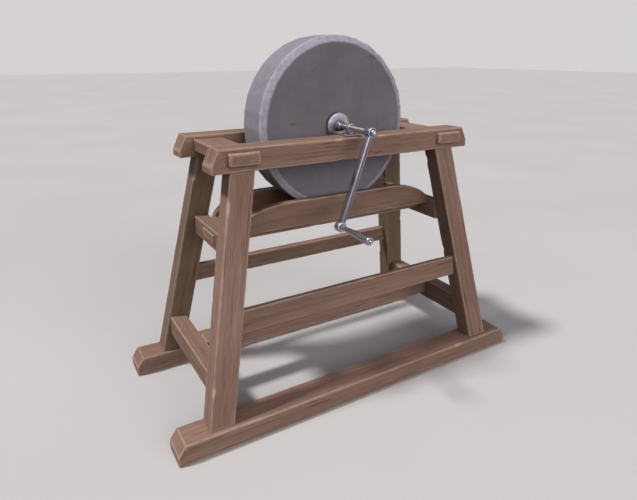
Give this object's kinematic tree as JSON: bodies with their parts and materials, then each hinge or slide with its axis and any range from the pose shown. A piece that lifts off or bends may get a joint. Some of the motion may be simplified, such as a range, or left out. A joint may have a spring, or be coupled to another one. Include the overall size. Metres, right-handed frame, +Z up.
{
  "type": "wet grinding sharpener",
  "caption": "Hand-cranked wet grindstone on a splayed timber trestle, with a wooden water trough under the stone.",
  "frame": {"origin": "on the floor, under the middle of the whole part's box", "axes": "+Z up, X along the skids and rails, the crank and its handle on the -Y side, the shaft along Y"},
  "size_m": [1.24, 0.663, 1.072],
  "materials": {
    "trestle_timber": "sawn and worn, dry",
    "trough_timber": "worn, darkened by water",
    "stone": "fine-grained, matt, chipped rim",
    "crank_steel": "worn bright",
    "bearing_iron": "dark, greasy"
  },
  "bodies": {
    "stand": {"leg_front_left": "trestle_timber", "leg_front_right": "trestle_timber", "leg_rear_left": "trestle_timber", "leg_rear_right": "trestle_timber", "front_skid": "trestle_timber", "rear_skid": "trestle_timber", "front_rail": "trestle_timber", "rear_rail": "trestle_timber", "end_tie_left": "trestle_timber", "end_tie_right": "trestle_timber", "trough_cross_left": "trestle_timber", "trough_cross_right": "trestle_timber", "low_cross_left": "trestle_timber", "low_cross_right": "trestle_timber", "trough_bearer": "trestle_timber", "centre_stretcher": "trestle_timber", "front_stretcher": "trestle_timber", "rear_stretcher": "trestle_timber", "trough_front_board": "trough_timber", "trough_rear_board": "trough_timber", "trough_floor_board": "trough_timber", "trough_end_left": "trough_timber", "trough_end_right": "trough_timber", "bearing_front": "bearing_iron", "bearing_rear": "bearing_iron", "bearing_screw_front_left": "bearing_iron", "bearing_screw_front_right": "bearing_iron", "bearing_screw_rear_left": "bearing_iron", "bearing_screw_rear_right": "bearing_iron"},
    "rotor": {"grindstone": "stone", "shaft": "crank_steel", "flange_front": "crank_steel", "flange_rear": "crank_steel", "hub_nut_front": "crank_steel", "hub_nut_rear": "crank_steel", "shaft_collar_inner": "crank_steel", "shaft_collar_outer": "crank_steel", "crank_arm": "crank_steel", "crank_nut": "crank_steel", "handle_pin": "crank_steel"},
    "grip": {"handle_grip": "crank_steel"}
  },
  "joints": [
    {"name": "crank_spin", "type": "hinge", "parent": "stand", "child": "rotor", "pos_m": [0, 0.0495, 0.822], "axis": [0, -1, 0], "continuous": true},
    {"name": "grip_spin", "type": "hinge", "parent": "rotor", "child": "grip", "pos_m": [-0.09234, -0.258, 0.56828], "axis": [0, -1, 0], "continuous": true}
  ]
}
